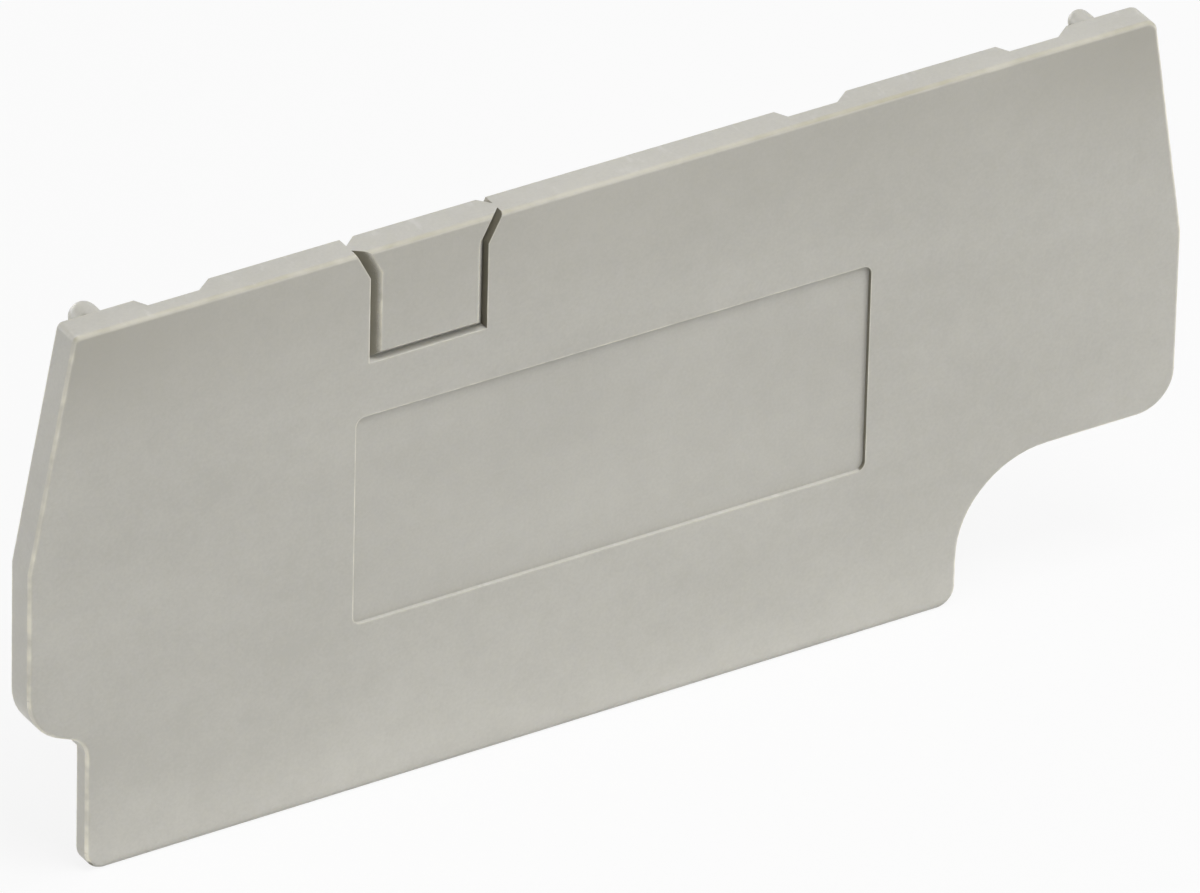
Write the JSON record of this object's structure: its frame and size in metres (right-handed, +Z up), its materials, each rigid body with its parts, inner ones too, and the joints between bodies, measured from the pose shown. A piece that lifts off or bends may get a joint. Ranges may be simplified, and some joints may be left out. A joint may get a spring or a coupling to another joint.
{
  "type": "terminal block end cover",
  "caption": "Flat moulded end cover that closes the open side of a rail-mounted terminal block, with a thin foot, a break-out tab and domed pegs on its back.",
  "frame": {"origin": "axis of the left peg, where it leaves the top of the rim that the cover seats on", "axes": "+X along the cover to the right as seen from the front, +Y out of the back along the pegs, +Z up from the foot to the top edge"},
  "size_m": [0.0605, 0.0034, 0.0284],
  "materials": {
    "polyamide": "moulded, fine satin, light grey"
  },
  "bodies": {
    "root": {"end_cover": "polyamide"}
  },
  "joints": []
}
